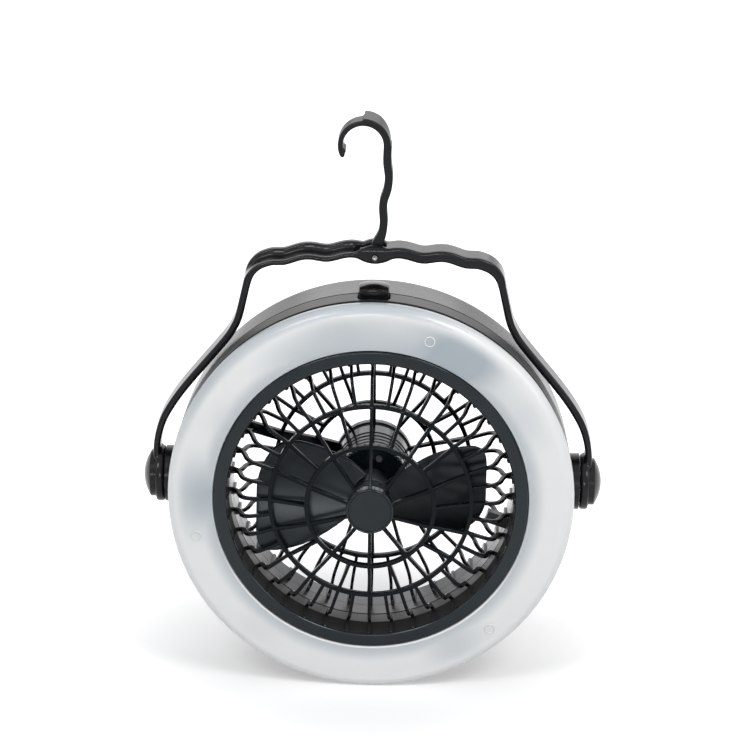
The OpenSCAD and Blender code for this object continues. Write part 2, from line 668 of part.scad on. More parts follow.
// The hook in one line: down the inside of the stem, round the pin, up the outside, over the curl
// to its tip, and back along the inside past a small barb. The curl is thick up to the step at its top.
function hook_edge() =
  let (c = [curl_x, curl_z], outer = curl_r + hook_t - 0.4, thin = curl_r + curl_t)
  concat(reverse(left_flank), arc([0, pin_z], 3.2, 158, 372, 14),
    shifted(stem_path, -hook_t / 2), arc(c, outer, 4, 91, 12), arc(c, thin, 91, 204, 14),
    arc(c + (curl_r + curl_t / 2) * [cos(205), sin(205)], curl_t / 2, 205, 385, 6),
    arc(c + (curl_r + 0.2) * [cos(196), sin(196)], 1.2, 300, 445, 4), arc(c, curl_r, 186, 4, 22));

module hook() color([0.12, 0.13, 0.14]) head() difference() {
  intersection() {
    upright(hook_front, hook_front + tab_depth) polygon(hook_edge());
    // Side view: a narrow root that widens to the curl, and to the thumb tab at its top
    translate([-60, hook_front, 0]) rotate([90, 0, 90]) linear_extrude(120)
      polygon([[-1, 95], [stem_depth, 95], [stem_depth, 114], [curl_depth, 142], [curl_depth, 151],
        [tab_depth + 1, 160.5], [tab_depth + 1, 163], [-1, 163]]);
  }
  // The thin half is no deeper than the curl
  translate([curl_x - 20, hook_front + curl_depth, 130]) cube([20.1, 10, 40]);
  translate([0, strap_front - 1, pin_z]) about_axis() cylinder(r = pin_r + bore_gap, h = 14, $fn = small);
}

light_lens();
led_board();
leds();
front_grille();
hub_badge();
front_housing();
rear_housing();
rear_grille();
motor_retainer();
motor_screws();
motor_can();
motor_magnets();
motor_end_bell();
motor_bushes();
motor_leads();
motor_shaft();
motor_armature();
fan_blades();
blade_cap();
cell_1();
cell_2();
cell_3();
cell_4();
contact_springs();
contact_plates();
battery_door_left();
battery_door_right();
power_button();
button_spring();
push_switch();
housing_screws();
pivot_boss_left();
pivot_boss_right();
pivot_screw_left();
pivot_screw_right();
bail_handle();
pivot_cap_left();
pivot_cap_right();
hook_pin();
hook();
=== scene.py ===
import math
import bpy
from mathutils import Matrix, Vector


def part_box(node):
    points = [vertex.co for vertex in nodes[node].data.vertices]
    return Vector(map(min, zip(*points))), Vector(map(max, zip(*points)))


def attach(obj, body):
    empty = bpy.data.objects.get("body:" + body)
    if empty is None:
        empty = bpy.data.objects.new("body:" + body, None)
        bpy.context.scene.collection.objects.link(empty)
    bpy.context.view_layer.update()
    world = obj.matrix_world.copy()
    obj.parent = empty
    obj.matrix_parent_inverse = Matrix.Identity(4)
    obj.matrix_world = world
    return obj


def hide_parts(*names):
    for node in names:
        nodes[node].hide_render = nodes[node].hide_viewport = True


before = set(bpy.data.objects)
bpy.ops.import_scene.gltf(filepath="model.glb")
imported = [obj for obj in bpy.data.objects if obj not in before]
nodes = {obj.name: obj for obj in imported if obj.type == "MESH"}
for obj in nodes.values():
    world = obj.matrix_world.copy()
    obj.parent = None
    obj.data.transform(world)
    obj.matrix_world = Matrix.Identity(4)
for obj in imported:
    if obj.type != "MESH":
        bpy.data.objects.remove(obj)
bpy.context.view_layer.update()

print("camping fan: frame loaded,", len(nodes), "nodes")

mm = 1000                                         # millimetres to the metre
headDepth = 0.045                                 # from the front rim to the back of the shells
weld = 0.000002                                   # points closer than this are one
smoothAngle = math.radians(40)                    # edges sharper than this stay crisp

lensLow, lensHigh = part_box("light_lens")
lensRadius = (lensHigh.z - lensLow.z) / 2
axisZ = lensRadius                                # height of the fan's axis, which lies along Y
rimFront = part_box("rear_housing")[1].y - headDepth    # plane of the front rim


# Helpers for selecting and editing

def clearSelection():
    for thing in bpy.context.selected_objects:
        thing.select_set(False)
    bpy.context.view_layer.objects.active = None


def makeActive(thing):
    clearSelection()
    thing.select_set(True)
    bpy.context.view_layer.objects.active = thing


def openMesh():
    bpy.ops.object.mode_set(mode="EDIT")
    bpy.ops.mesh.select_all(action="SELECT")


def closeMesh():
    bpy.ops.object.mode_set(mode="OBJECT")


def keepPlaceInMesh():
    bpy.ops.object.transform_apply(location=True, rotation=True, scale=True)


def joinInto(piece, others):
    makeActive(piece)
    for other in others:
        other.select_set(True)
    bpy.ops.object.join()


def dress(thing, material):
    thing.data.materials.clear()
    thing.data.materials.append(material)


# Helpers for node trees: feed links a socket and sets anything else as a plain value

def feed(tree, node, inputs):
    for label, value in inputs.items():
        if isinstance(value, bpy.types.NodeSocket):
            tree.links.new(value, node.inputs[label])
        else:
            node.inputs[label].default_value = value


def addNode(tree, kind, x, y, inputs=None, **settings):
    node = tree.nodes.new(kind)
    node.location = (x, y)
    for key, value in settings.items():
        setattr(node, key, value)
    feed(tree, node, inputs or {})
    return node


def addMath(tree, x, y, operation, *values, **settings):
    node = addNode(tree, "ShaderNodeMath", x, y, dict(enumerate(values)),
                   operation=operation, **settings)
    return node.outputs[0]


def addRange(tree, x, y, value, source, target, interpolation="SMOOTHSTEP"):
    node = addNode(tree, "ShaderNodeMapRange", x, y, {
        "Value": value, "From Min": source[0], "From Max": source[1],
        "To Min": target[0], "To Max": target[1]}, interpolation_type=interpolation)
    return node.outputs["Result"]


def setRamp(ramp, stops):
    elements = ramp.color_ramp.elements
    while len(elements) < len(stops):
        elements.new(0.5)
    for element, (place, colour) in zip(elements, stops):
        element.position = place
        element.color = (*colour, 1.0)


def newMaterial(name):
    material = bpy.data.materials.new(name)
    material.use_nodes = True
    tree = material.node_tree
    return material, tree, tree.nodes["Principled BSDF"]


# What a finish has unless its own entry says otherwise
plainFinish = {
    "roughness": 0.4, "spread": 0.12, "grain": 1600.0, "rub": 60.0, "stretch": (1.0, 1.0, 1.0),
    "bump": 0.05, "bumpDepth": 0.0002, "metallic": 0.0, "specular": 0.5, "tint": (1.0, 1.0, 1.0),
    "coat": 0.0, "coatRoughness": 0.1,
    "darkFrom": 0.32, "lightFrom": 0.68,          # where on the rub its two tones stand
}

# The grain that every moulded, frosted or drawn surface shares, as a node group
grainShape = {"grainDetail": 2.0, "rubDetail": 5.0, "rubRoughness": 0.65, "middle": 0.5}
grainInputs = {                                   # input: kind, entry of the finish that it takes
    "Grain Scale": ("NodeSocketFloat", "grain"), "Rub Scale": ("NodeSocketFloat", "rub"),
    "Base": ("NodeSocketFloat", "roughness"), "Spread": ("NodeSocketFloat", "spread"),
    "Stretch": ("NodeSocketVector", "stretch"),
}


def buildSurfaceGrain(shape):
    group = bpy.data.node_groups.new("surfaceGrain", "ShaderNodeTree")
    sockets = group.interface
    for label, (kind, entry) in grainInputs.items():
        socket = sockets.new_socket(label, in_out="INPUT", socket_type=kind)
        socket.default_value = plainFinish[entry]
    for label in ("Roughness", "Height", "Rub"):
        sockets.new_socket(label, in_out="OUTPUT", socket_type="NodeSocketFloat")
    start = addNode(group, "NodeGroupInput", -1000, 0).outputs
    coords = addNode(group, "ShaderNodeTexCoord", -1000, -300).outputs["Object"]
    stretched = addNode(group, "ShaderNodeVectorMath", -800, -300,
                        {0: coords, 1: start["Stretch"]}, operation="MULTIPLY").outputs[0]
    grain = addNode(group, "ShaderNodeTexNoise", -600, 200, {
        "Vector": stretched, "Scale": start["Grain Scale"], "Detail": shape["grainDetail"]})
    rub = addNode(group, "ShaderNodeTexNoise", -600, -200, {
        "Vector": stretched, "Scale": start["Rub Scale"], "Detail": shape["rubDetail"],
        "Roughness": shape["rubRoughness"]})
    centred = addMath(group, -300, -200, "SUBTRACT", rub.outputs["Fac"], shape["middle"])
    rough = addMath(group, -100, -100, "MULTIPLY_ADD", centred, start["Spread"], start["Base"])
    addNode(group, "NodeGroupOutput", 500, 0, {
        "Roughness": rough, "Height": grain.outputs["Fac"], "Rub": rub.outputs["Fac"]})
    return group


surfaceGrain = buildSurfaceGrain(grainShape)


# The group with a finish's own values, and the bump that its height makes
def placeGrain(tree, x, y, finish):
    values = {label: finish[entry] for label, (kind, entry) in grainInputs.items()}
    grain = addNode(tree, "ShaderNodeGroup", x, y, values, node_tree=surfaceGrain).outputs
    bump = addNode(tree, "ShaderNodeBump", x + 300, y - 250, {
        "Strength": finish["bump"], "Distance": finish["bumpDepth"], "Height": grain["Height"]})
    return grain, bump.outputs["Normal"]


# A material with the shared grain: its colour wanders between two tones where it is rubbed
def grainedMaterial(name, own):
    finish = {**plainFinish, **own}
    material, tree, shader = newMaterial(name)
    grain, normal = placeGrain(tree, -700, 0, finish)
    tone = addNode(tree, "ShaderNodeValToRGB", -400, 200, {"Fac": grain["Rub"]})
    setRamp(tone, [(finish["darkFrom"], finish["dark"]), (finish["lightFrom"], finish["light"])])
    feed(tree, shader, {
        "Base Color": tone.outputs["Color"], "Roughness": grain["Roughness"],
        "Normal": normal, "Metallic": finish["metallic"],
        "Specular IOR Level": finish["specular"], "Specular Tint": (*finish["tint"], 1.0),
        "Coat Weight": finish["coat"], "Coat Roughness": finish["coatRoughness"]})
    return material


finishes = {
    # mouldings
    "shellPlastic": {
        "dark": (0.03, 0.031, 0.032), "light": (0.048, 0.049, 0.05),
        "roughness": 0.25, "grain": 2600.0, "specular": 0.34},
    "frontShellPlastic": {
        "dark": (0.026, 0.027, 0.028), "light": (0.042, 0.043, 0.044),
        "roughness": 0.37, "grain": 2600.0, "specular": 0.3},
    "guardPlastic": {
        "dark": (0.0035, 0.0055, 0.0075), "light": (0.0065, 0.0095, 0.0125),
        "roughness": 0.17, "bump": 0.03, "specular": 0.36, "tint": (0.86, 0.95, 1.0)},
    # a darker, less glossy copy of the guard plastic: painted shade standing in for the shading of
    # rounder spokes
    "spokeShadedPlastic": {
        "dark": (0.002, 0.003, 0.004), "light": (0.004, 0.0055, 0.007), "roughness": 0.14,
        "spread": 0.1, "bump": 0.02, "specular": 0.13, "tint": (0.86, 0.95, 1.0)},
    # the skirt inside the tunnel: a rougher finish, with painted shade in its darker colour
    "skirtShadedPlastic": {
        "dark": (0.0015, 0.0017, 0.002), "light": (0.003, 0.0034, 0.004), "roughness": 0.85,
        "spread": 0.1, "bump": 0.02, "specular": 0.35},
    "bladePlastic": {
        "dark": (0.003, 0.004, 0.005), "light": (0.0055, 0.0068, 0.0085), "roughness": 0.3,
        "spread": 0.1, "grain": 700.0, "bump": 0.03, "specular": 0.32, "tint": (0.86, 0.95, 1.0)},
    "bailPlastic": {
        "dark": (0.0055, 0.006, 0.0068), "light": (0.0105, 0.0112, 0.0125), "roughness": 0.19,
        "spread": 0.1, "grain": 2200.0, "specular": 0.22},
    "hookPlastic": {
        "dark": (0.005, 0.0056, 0.0062), "light": (0.009, 0.0098, 0.0108), "roughness": 0.36,
        "spread": 0.1, "grain": 2200.0, "specular": 0.2},
    "buttonPlastic": {
        "dark": (0.003, 0.003, 0.0035), "light": (0.006, 0.006, 0.0065), "roughness": 0.1,
        "spread": 0.05, "bump": 0.01, "specular": 0.2},
    "badgePlastic": {
        "dark": (0.006, 0.0078, 0.009), "light": (0.01, 0.0125, 0.0145), "roughness": 0.4,
        "spread": 0.1, "grain": 2600.0, "bump": 0.08, "specular": 0.3, "tint": (0.88, 0.97, 1.0)},
    "frostedMark": {
        "dark": (0.68, 0.7, 0.72), "light": (0.74, 0.75, 0.76), "roughness": 0.15,
        "spread": 0.05, "bump": 0.0, "specular": 0.6},
    "nylon": {"dark": (0.62, 0.59, 0.5), "light": (0.7, 0.67, 0.58), "roughness": 0.5},
    # metals
    "brightSteel": {
        "dark": (0.3, 0.3, 0.31), "light": (0.44, 0.44, 0.45), "roughness": 0.32, "spread": 0.2,
        "grain": 900.0, "stretch": (1.0, 0.06, 1.0), "metallic": 1.0},
    "pinSteel": {
        "dark": (0.3, 0.3, 0.3), "light": (0.4, 0.4, 0.4), "roughness": 0.42, "spread": 0.1,
        "grain": 900.0, "metallic": 1.0},
    "darkSteel": {
        "dark": (0.08, 0.08, 0.085), "light": (0.14, 0.14, 0.145), "roughness": 0.5,
        "metallic": 0.6},
    "brassBush": {
        "dark": (0.5, 0.34, 0.12), "light": (0.66, 0.48, 0.2), "roughness": 0.35,
        "metallic": 1.0},
    "copperWinding": {
        "dark": (0.34, 0.11, 0.05), "light": (0.55, 0.22, 0.1), "roughness": 0.4,
        "metallic": 0.7, "stretch": (1.0, 12.0, 1.0), "grain": 300.0, "bump": 0.4},
    "nickel": {
        "dark": (0.58, 0.56, 0.52), "light": (0.7, 0.68, 0.64), "roughness": 0.25,
        "metallic": 1.0},
    # board, diodes, leads and cells
    "boardWhite": {"dark": (0.7, 0.7, 0.66), "light": (0.78, 0.78, 0.74), "roughness": 0.45},
    "diodeYellow": {"dark": (0.75, 0.5, 0.06), "light": (0.85, 0.62, 0.1), "roughness": 0.25},
    "leadRed": {"dark": (0.32, 0.012, 0.01), "light": (0.42, 0.02, 0.015), "roughness": 0.4},
    "cellWrap": {
        "dark": (0.2, 0.11, 0.03), "light": (0.3, 0.17, 0.05), "roughness": 0.22, "coat": 0.4},
}
finishOfNode = {
    "frostedLens": ["light_lens"],
    "frontShellPlastic": ["front_housing"],
    "shellPlastic": ["rear_housing", "battery_door_left", "battery_door_right"],
    "guardPlastic": ["front_grille", "rear_grille", "motor_retainer"],
    "bladePlastic": ["fan_blades", "blade_cap"],
    "hookPlastic": ["hook"],
    "bailPlastic": ["bail_handle", "pivot_boss_left", "pivot_boss_right", "pivot_cap_left",
                    "pivot_cap_right", "push_switch"],
    "buttonPlastic": ["power_button"],
    "badgePlastic": ["hub_badge"],
    "brightSteel": ["motor_can", "motor_shaft", "housing_screws", "pivot_screw_left",
                    "pivot_screw_right"],
    "pinSteel": ["hook_pin"],
    "darkSteel": ["motor_magnets", "motor_screws"],
    "brassBush": ["motor_bushes"],
    "copperWinding": ["motor_armature"],
    "nylon": ["motor_end_bell"],
    "boardWhite": ["led_board"],
    "diodeYellow": ["leds"],
    "leadRed": ["motor_leads"],
    "cellWrap": ["cell_1", "cell_2", "cell_3", "cell_4"],
    "nickel": ["contact_springs", "contact_plates", "button_spring"],
}
materials = {name: grainedMaterial(name, finish) for name, finish in finishes.items()}


# The shells' meeting edges get a painted dark line of shade: behind the lens and at the parting
# line
seamShadeLook = {
    "lines": [(0.0092, 0.0014), (0.0225, 0.0008)],    # depth behind the rim, half width
    "soft": 0.0003, "shade": (0.002, 0.002, 0.0025), "roughness": 0.95,
}


def paintSeamShade(material, look):
    tree = material.node_tree
    shader = tree.nodes["Principled BSDF"]
    plainColour = shader.inputs["Base Color"].links[0].from_socket
    plainRoughness = shader.inputs["Roughness"].links[0].from_socket
    coords = addNode(tree, "ShaderNodeTexCoord", -1600, 500).outputs["Object"]
    along = addNode(tree, "ShaderNodeSeparateXYZ", -1400, 500, {0: coords}).outputs["Y"]
    mask = 0.0
    for index, (depth, half) in enumerate(look["lines"]):
        y = 500 - 200 * index
        off = addMath(tree, -1200, y, "SUBTRACT", along, rimFront + depth)
        away = addMath(tree, -1000, y, "ABSOLUTE", off)
        line = addRange(tree, -800, y, away, (half, half + look["soft"]), (1.0, 0.0))
        mask = addMath(tree, -600, y, "MAXIMUM", mask, line)
    # painted shade: the lines darken the shell's colour and dull its roughness
    shaded = addNode(tree, "ShaderNodeMix", -200, 400, {
        "Factor": mask, "A": plainColour, "B": (*look["shade"], 1.0)}, data_type="RGBA")
    dulled = addNode(tree, "ShaderNodeMix", -200, 150, {
        "Factor": mask, "A": plainRoughness, "B": look["roughness"]})
    feed(tree, shader, {
        "Base Color": shaded.outputs["Result"], "Roughness": dulled.outputs["Result"]})


paintSeamShade(materials["frontShellPlastic"], seamShadeLook)


# Frosted lens: milky plastic with painted shade, darker and bluish, where the hollow behind it
# shows through, and a painted highlight on its lower inner lip.
# Places are metres from the fan's axis, right and up
lensLook = {
    "milk": (0.79, 0.8, 0.805), "cloudShade": (0.33, 0.385, 0.425), "roughness": 0.32,
    "inner": (0.0690, 0.0762), "innerShade": 0.62,    # painted shade: the step beside the rim is darker all round
    "fade": (0.0795, 0.0862),                         # the clouds of painted shade end where the edge rolls back
    "shadeClouds": [                                       # right, up, reach, density
        (0.029, 0.062, 0.040, 1.0), (-0.012, 0.070, 0.034, 0.75), (-0.071, 0.001, 0.028, 0.9),
        (0.036, -0.064, 0.022, 0.5), (0.062, 0.036, 0.022, 0.35), (0.044, 0.068, 0.024, 0.5),
        (-0.046, -0.058, 0.018, 0.2), (-0.034, 0.058, 0.022, 0.5), (-0.058, 0.034, 0.018, 0.4)],
    "wisps": 16.0, "wispDetail": 3.0, "wispSpan": (0.35, 0.65), "wispShare": 0.3,
    # painted shade on the rolled edge at the upper left
    "edge": (0.0822, 0.0858), "edgeShadeCloud": (-0.032, 0.075, 0.085, 0.62), "edgeCore": 0.5,
    "blend": 0.15,                                    # how softly the clouds and the step's painted shade run together
    # painted highlight on the inner lip at the bottom of the ring
    "lip": (0.0684, 0.0690), "lipHeight": (-0.05, -0.02), "lipPaintedLight": 0.9,
    "grain": 2200.0, "bump": 0.04,                    # the frost
    "milkiness": 0.25, "milkReach": (0.004, 0.004, 0.005),
    "coat": 0.3, "coatRoughness": 0.12,
}


def buildLensMaterial(own):
    look = {**plainFinish, **own}
    material, tree, shader = newMaterial("frostedLens")
    coords = addNode(tree, "ShaderNodeTexCoord", -2200, 0).outputs["Object"]
    centred = addNode(tree, "ShaderNodeMapping", -2000, 0, {
        "Vector": coords, "Location": (0.0, 0.0, -axisZ),
        "Scale": (1.0, 0.0, 1.0)}).outputs[0]         # only right and up count

    def distanceTo(right, up, y):
        return addNode(tree, "ShaderNodeVectorMath", -1800, y,
                       {0: centred, 1: (right, 0.0, up)}, operation="DISTANCE").outputs["Value"]

    reach = distanceTo(0.0, 0.0, 300)
    # painted shade beside the rim's step
    inner = addRange(tree, -1500, 400, reach, look["inner"], (look["innerShade"], 0.0))
    fade = addRange(tree, -1500, 150, reach, look["fade"], (1.0, 0.0))
    # painted shade: darker, bluish clouds, broken up by wisps and faded towards the rolled edge
    total = 0.0
    for index, (right, up, size, density) in enumerate(look["shadeClouds"]):
        y = -200 - 200 * index
        cloudShade = addRange(tree, -1500, y, distanceTo(right, up, y), (0.0, size), (density, 0.0))
        total = addMath(tree, -1200, y, "ADD", total, cloudShade, use_clamp=True)
    wisps = addNode(tree, "ShaderNodeTexNoise", -1200, 300, {
        "Vector": coords, "Scale": look["wisps"], "Detail": look["wispDetail"]})
    thin = addRange(tree, -1000, 300, wisps.outputs["Fac"], look["wispSpan"],
                    (1.0 - look["wispShare"], 1.0), "LINEAR")
    faded = addMath(tree, -900, 0, "MULTIPLY", total, fade)
    broken = addMath(tree, -700, 100, "MULTIPLY", faded, thin)
    # painted shade: the rolled edge is a little darker at the upper left
    right, up, size, density = look["edgeShadeCloud"]
    edge = addRange(tree, -1500, 700, reach, look["edge"], (0.0, 1.0))
    patch = addRange(tree, -1500, 1000, distanceTo(right, up, 900),
                     (size * look["edgeCore"], size), (density, 0.0))
    rolled = addMath(tree, -1200, 900, "MULTIPLY", edge, patch)
    darkest = addMath(tree, -600, 0, "MAXIMUM", broken, rolled)
    shade = addMath(tree, -500, 100, "SMOOTH_MAX", darkest, inner, look["blend"])
    shadedMilk = addNode(tree, "ShaderNodeMix", -300, 0, {
        "Factor": shade, "A": (*look["milk"], 1.0), "B": (*look["cloudShade"], 1.0)}, data_type="RGBA")
    # painted highlight: the inner lip is painted lighter where it faces up, at the bottom of the
    # ring, as if it caught the light
    height = addNode(tree, "ShaderNodeSeparateXYZ", -800, 1000, {0: centred}).outputs["Z"]
    lip = addRange(tree, -600, 700, reach, look["lip"], (1.0, 0.0))
    lipSide = addRange(tree, -600, 1000, height, look["lipHeight"], (1.0, 0.0))
    lit = addMath(tree, -400, 800, "MULTIPLY", lip, lipSide)
    lipped = addNode(tree, "ShaderNodeMix", -200, 500, {
        "Factor": lit, "A": shadedMilk.outputs["Result"], "B": (look["lipPaintedLight"],) * 3 + (1.0,)},
        data_type="RGBA")
    normal = placeGrain(tree, -700, -300, look)[1]
    feed(tree, shader, {
        "Base Color": lipped.outputs["Result"], "Normal": normal,
        "Roughness": look["roughness"], "Subsurface Weight": look["milkiness"],
        "Subsurface Radius": look["milkReach"], "Subsurface Scale": 1.0,
        "Coat Weight": look["coat"], "Coat Roughness": look["coatRoughness"]})
    return material


materials["frostedLens"] = buildLensMaterial(lensLook)

for finishName, dressed in finishOfNode.items():
    for nodeName in dressed:
        dress(nodes[nodeName], materials[finishName])
print("camping fan: finishes on", sum(len(dressed) for dressed in finishOfNode.values()), "nodes")


# Moulded edges: a copy of each moulding, its doubles merged and its hard edges rounded.
# A zone is in a darker copy of the finish, painted shade: radius from and to, depth behind the rim
# from and to
guardZones = {
    "front": [("spokeShadedPlastic", 0.0125, 0.0605, -0.02, 0.02),
              ("skirtShadedPlastic", 0.0605, 0.075, 0.0012, 0.0132)],
    "rear": [("spokeShadedPlastic", 0.0178, 0.0605, 0.03, 0.07)],
}
softEdges = {
    "frontGuard": {
        "standsFor": "front_grille", "body": "head", "slot": "grille_black",
        "finish": "guardPlastic", "round": 0.0003, "zones": guardZones["front"]},
    "rearGuard": {
        "standsFor": "rear_grille", "body": "head", "slot": "grille_black",
        "finish": "guardPlastic", "round": 0.0003, "zones": guardZones["rear"]},
    "frontShell": {
        "standsFor": "front_housing", "body": "head", "slot": "shell_grey",
        "finish": "frontShellPlastic", "round": 0.0004},
    "rearShell": {
        "standsFor": "rear_housing", "body": "head", "slot": "shell_grey",
        "finish": "shellPlastic", "round": 0.0004, "clamp": True},
    "bail": {
        "standsFor": "bail_handle", "body": "bail", "slot": "bail_black",
        "finish": "bailPlastic", "voxel": 0.00045, "relax": 26},
    "hangingHook": {
        "standsFor": "hook", "body": "hook", "slot": "bail_black",
        "finish": "hookPlastic", "voxel": 0.00035, "relax": 6},
    "crownedButton": {
        "standsFor": "power_button", "body": "button", "slot": "button_gloss",
        "finish": "buttonPlastic", "voxel": 0.00024, "relax": 45},
    "bladePair": {
        "standsFor": "fan_blades", "body": "rotor", "slot": "blade_black",
        "finish": "bladePlastic", "voxel": 0.00042, "relax": 22},
    "bladeHubCap": {
        "standsFor": "blade_cap", "body": "rotor", "slot": "blade_black",
        "finish": "bladePlastic", "round": 0.0004},
    "retainerPlate": {
        "standsFor": "motor_retainer", "body": "head", "slot": "grille_black",
        "finish": "guardPlastic", "round": 0.0002},
    "badgeDisc": {
        "standsFor": "hub_badge", "body": "head", "slot": "badge_black",
        "finish": "badgePlastic", "round": 0.0004},
    "doorLeft": {
        "standsFor": "battery_door_left", "body": "door_left", "slot": "shell_grey",
        "finish": "shellPlastic", "round": 0.0004, "clamp": True},
    "doorRight": {
        "standsFor": "battery_door_right", "body": "door_right", "slot": "shell_grey",
        "finish": "shellPlastic", "round": 0.0004, "clamp": True},
}
edgeTools = {"relaxFactor": 0.5, "segments": 2, "hardFrom": math.radians(28)}


# A moulding whose edges flow all round is given a new skin, which is then relaxed
def relaxSkin(piece, look):
    skin = piece.modifiers.new("skin", "REMESH")
    skin.mode = "VOXEL"
    skin.voxel_size = look["voxel"]
    bpy.ops.object.modifier_apply(modifier=skin.name)
    relax = piece.modifiers.new("relax", "SMOOTH")
    relax.factor = edgeTools["relaxFactor"]
    relax.iterations = look["relax"]
    bpy.ops.object.modifier_apply(modifier=relax.name)
    bpy.ops.object.shade_smooth()


def roundEdges(piece, look):
    bevel = piece.modifiers.new("roundedEdges", "BEVEL")
    bevel.width = look["round"]
    bevel.segments = edgeTools["segments"]
    bevel.limit_method = "ANGLE"
    bevel.angle_limit = edgeTools["hardFrom"]
    bevel.use_clamp_overlap = look.get("clamp", False)
    bevel.miter_outer = "MITER_ARC"
    bpy.ops.object.modifier_apply(modifier=bevel.name)
    bpy.ops.object.shade_smooth_by_angle(angle=smoothAngle)
    flats = piece.modifiers.new("flatFaces", "WEIGHTED_NORMAL")
    flats.keep_sharp = True
    bpy.ops.object.modifier_apply(modifier=flats.name)


def softenedCopy(name, look):
    piece = bpy.data.objects.new(name, nodes[look["standsFor"]].data.copy())
    bpy.context.scene.collection.objects.link(piece)
    makeActive(piece)
    openMesh()
    bpy.ops.mesh.remove_doubles(threshold=weld)
    closeMesh()
    if "voxel" in look:
        relaxSkin(piece, look)
    else:
        roundEdges(piece, look)
    dress(piece, materials[look["finish"]])
    for index, (finish, near, far, front, back) in enumerate(look.get("zones", []), 1):
        piece.data.materials.append(materials[finish])
        for face in piece.data.polygons:
            reach = math.hypot(face.center.x, face.center.z - axisZ)
            if near < reach < far and front < face.center.y - rimFront < back:
                face.material_index = index
    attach(piece, look["body"])
    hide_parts(look["standsFor"])
    return piece


# Ring lens: one deep frosted moulding with three ejector marks on its face, all in mm
lensShape = {
    "outerRadius": lensRadius * mm, "innerRadius": 67.9, "wall": 1.8,
    "front": 0.5, "back": 8.0, "backStep": 0.2, "innerLip": 0.4, "backLip": 1.2,
    "round": 4.5, "roundSteps": 12, "hollowSteps": 6, "lipSteps": 5,
    "spinSteps": 240, "crispFrom": math.radians(38),
    "marks": [(24.1, 72.5), (-75.1, -17.7), (52.4, -58.4)],      # right and up from the axis
    "markRadius": 2.1, "markRise": 0.28, "dotRadius": 0.8, "dotFlatness": 0.5,
    "markSteps": (32, 8), "dotSteps": (16, 8), "postSteps": 32, "postRound": 0.2,
}
seedSize = 0.001                                  # the plane that a turned outline starts from
outlineWeld = 0.000001
faceForward = (math.pi / 2, 0.0, 0.0)             # turns an upright primitive along the fan's axis


# A turned piece: its outline, as (radius, depth behind the rim), is drawn point by point and spun
def turnedPiece(name, outline, steps, crispFrom):
    clearSelection()
    radius, depth = outline[0]
    start = (radius / mm, rimFront + depth / mm, axisZ)
    bpy.ops.mesh.primitive_plane_add(size=seedSize, location=start)
    piece = bpy.context.object
    piece.name = name
    keepPlaceInMesh()
    openMesh()
    bpy.ops.mesh.merge(type="CENTER")
    for before, after in zip(outline, outline[1:] + outline[:1]):
        step = ((after[0] - before[0]) / mm, (after[1] - before[1]) / mm, 0.0)
        bpy.ops.mesh.extrude_region_move(TRANSFORM_OT_translate={"value": step})
    bpy.ops.mesh.select_all(action="SELECT")
    bpy.ops.mesh.remove_doubles(threshold=outlineWeld)
    bpy.ops.mesh.select_all(action="SELECT")
    bpy.ops.mesh.spin(steps=steps, angle=2 * math.pi, center=(0.0, 0.0, axisZ),
                      axis=(0.0, 1.0, 0.0))
    bpy.ops.mesh.select_all(action="SELECT")
    bpy.ops.mesh.remove_doubles(threshold=weld)
    bpy.ops.mesh.normals_make_consistent(inside=False)
    closeMesh()
    bpy.ops.object.shade_smooth_by_angle(angle=crispFrom)
    return piece


def arcAround(centre, radius, fromAngle, toAngle, steps):
    points = []
    for i in range(steps + 1):
        turn = math.radians(fromAngle + (toAngle - fromAngle) * i / steps)
        points.append((centre[0] + radius * math.cos(turn), centre[1] + radius * math.sin(turn)))
    return points


def lensOutline(look):
    rim, inner, wall = look["outerRadius"], look["innerRadius"], look["wall"]
    front, back = look["front"], look["back"]
    lip, backLip, curve = look["innerLip"], look["backLip"], look["round"]
    centre = (rim - curve, front + curve)
    outline = [(inner, back - look["backStep"])]
    outline += arcAround((inner + lip, front + lip), lip, 180, 270, look["lipSteps"])
    outline += arcAround(centre, curve, -90, 0, look["roundSteps"])
    outline += [(rim, back - backLip), (rim - backLip, back), (rim - wall, back)]
    outline += arcAround(centre, curve - wall, 0, -90, look["hollowSteps"])
    outline += [(inner + wall, front + wall), (inner + wall, back - look["backStep"])]
    return outline


# A raised ring and its dot on the lens's face
def addMark(place, look):
    around, across = look["markSteps"]
    bpy.ops.mesh.primitive_torus_add(
        location=place, rotation=faceForward, major_segments=around, minor_segments=across,
        major_radius=look["markRadius"] / mm, minor_radius=look["markRise"] / mm)
    keepPlaceInMesh()
    ring = bpy.context.object
    around, across = look["dotSteps"]
    bpy.ops.mesh.primitive_uv_sphere_add(
        location=place, segments=around, ring_count=across, radius=look["dotRadius"] / mm)
    openMesh()
    bpy.ops.transform.resize(value=(1.0, look["dotFlatness"], 1.0),
                             center_override=(0.0, 0.0, 0.0))
    closeMesh()
    keepPlaceInMesh()
    dot = bpy.context.object
    for part in (ring, dot):
        makeActive(part)
        bpy.ops.object.shade_smooth()
        dress(part, materials["frostedMark"])
    return [ring, dot]


# The screw post that stands behind a mark
def addPost(place, look):
    depth = (look["back"] - look["front"] - look["wall"] / 2) / mm
    middle = (place[0], place[1] + (look["wall"] / 2) / mm + depth / 2, place[2])
    bpy.ops.mesh.primitive_cylinder_add(
        vertices=look["postSteps"], radius=look["markRadius"] / mm, depth=depth,
        location=middle, rotation=faceForward)
    keepPlaceInMesh()
    openMesh()
    bpy.ops.mesh.bevel(offset=look["postRound"] / mm, segments=edgeTools["segments"])
    closeMesh()
    bpy.ops.object.shade_smooth_by_angle(angle=smoothAngle)
    post = bpy.context.object
    dress(post, materials["frostedLens"])
    return post


